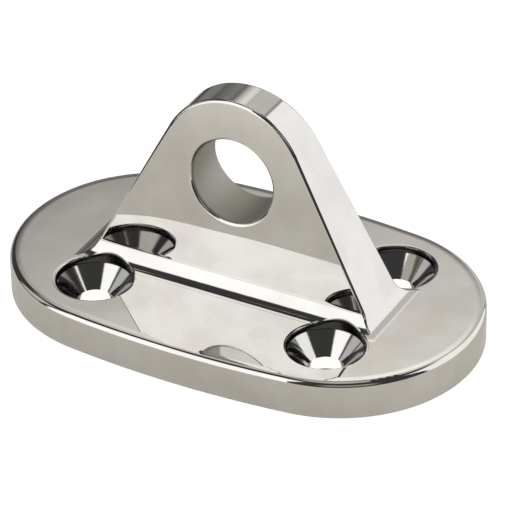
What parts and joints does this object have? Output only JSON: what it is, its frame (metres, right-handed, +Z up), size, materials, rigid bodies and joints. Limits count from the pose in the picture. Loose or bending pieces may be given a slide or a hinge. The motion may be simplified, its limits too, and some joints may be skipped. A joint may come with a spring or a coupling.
{
  "type": "pad eye",
  "caption": "Oval base plate with countersunk screw holes and an upright tapered eye lug, for shackling a line or block to a deck.",
  "frame": {"origin": "centre of the seating face, on the deck's surface", "axes": "+X along the plate and the lug, +Y through the eye towards the back, +Z up out of the deck"},
  "size_m": [0.08, 0.0484, 0.0398],
  "materials": {
    "polished_plate": "mirror-polished stainless steel",
    "polished_lug": "mirror-polished stainless steel",
    "polished_weld": "stainless weld metal, ground and mirror-polished",
    "ground_weld": "stainless weld metal, ground flush and left satin"
  },
  "bodies": {
    "root": {"base_plate": "polished_plate", "eye_lug": "polished_lug", "foot_fillet_weld": "polished_weld", "root_weld": "ground_weld"}
  },
  "joints": []
}
